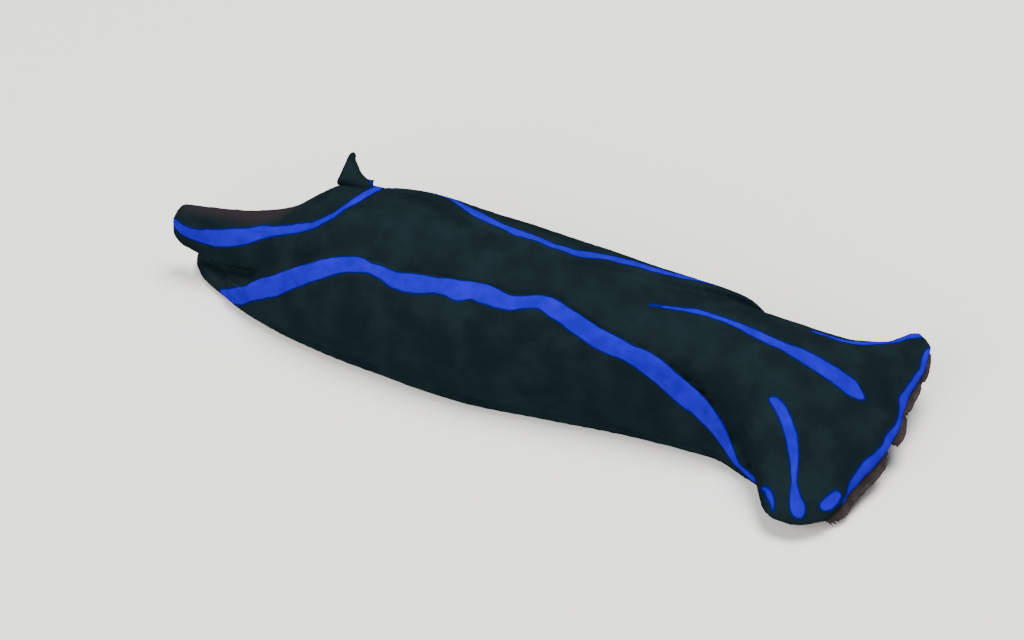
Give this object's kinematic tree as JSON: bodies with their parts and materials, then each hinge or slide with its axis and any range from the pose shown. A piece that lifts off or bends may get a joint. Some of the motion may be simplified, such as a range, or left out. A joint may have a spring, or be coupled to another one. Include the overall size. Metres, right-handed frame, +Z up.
{
  "type": "blue velvet headshield slug",
  "caption": "Life-size still model of a black headshield sea slug with vivid blue lines, a hammer-shaped head, clasped side flaps and two tail lobes.",
  "frame": {"origin": "middle of the bounding box, on the flat underside of the creeping sole", "axes": "+X from tail to head, +Y to the animal's left, +Z up"},
  "size_m": [0.0593, 0.0192, 0.0103],
  "materials": {
    "velvet_skin": "soft velvety black skin with bright blue lines, slightly moist",
    "pad_skin": "thin brownish skin, slightly moist",
    "gill_skin": "thin dark grey-brown leaflets, slightly moist"
  },
  "bodies": {
    "root": {"foot": "velvet_skin", "trunk": "velvet_skin", "head": "velvet_skin", "head_shield": "velvet_skin", "posterior_shield": "velvet_skin", "parapodium_right": "velvet_skin", "parapodium_left": "velvet_skin", "tail_lobe_right": "velvet_skin", "tail_lobe_left": "velvet_skin", "lips": "pad_skin", "sensory_pad_right": "pad_skin", "sensory_pad_left": "pad_skin", "gill": "gill_skin"}
  },
  "joints": []
}
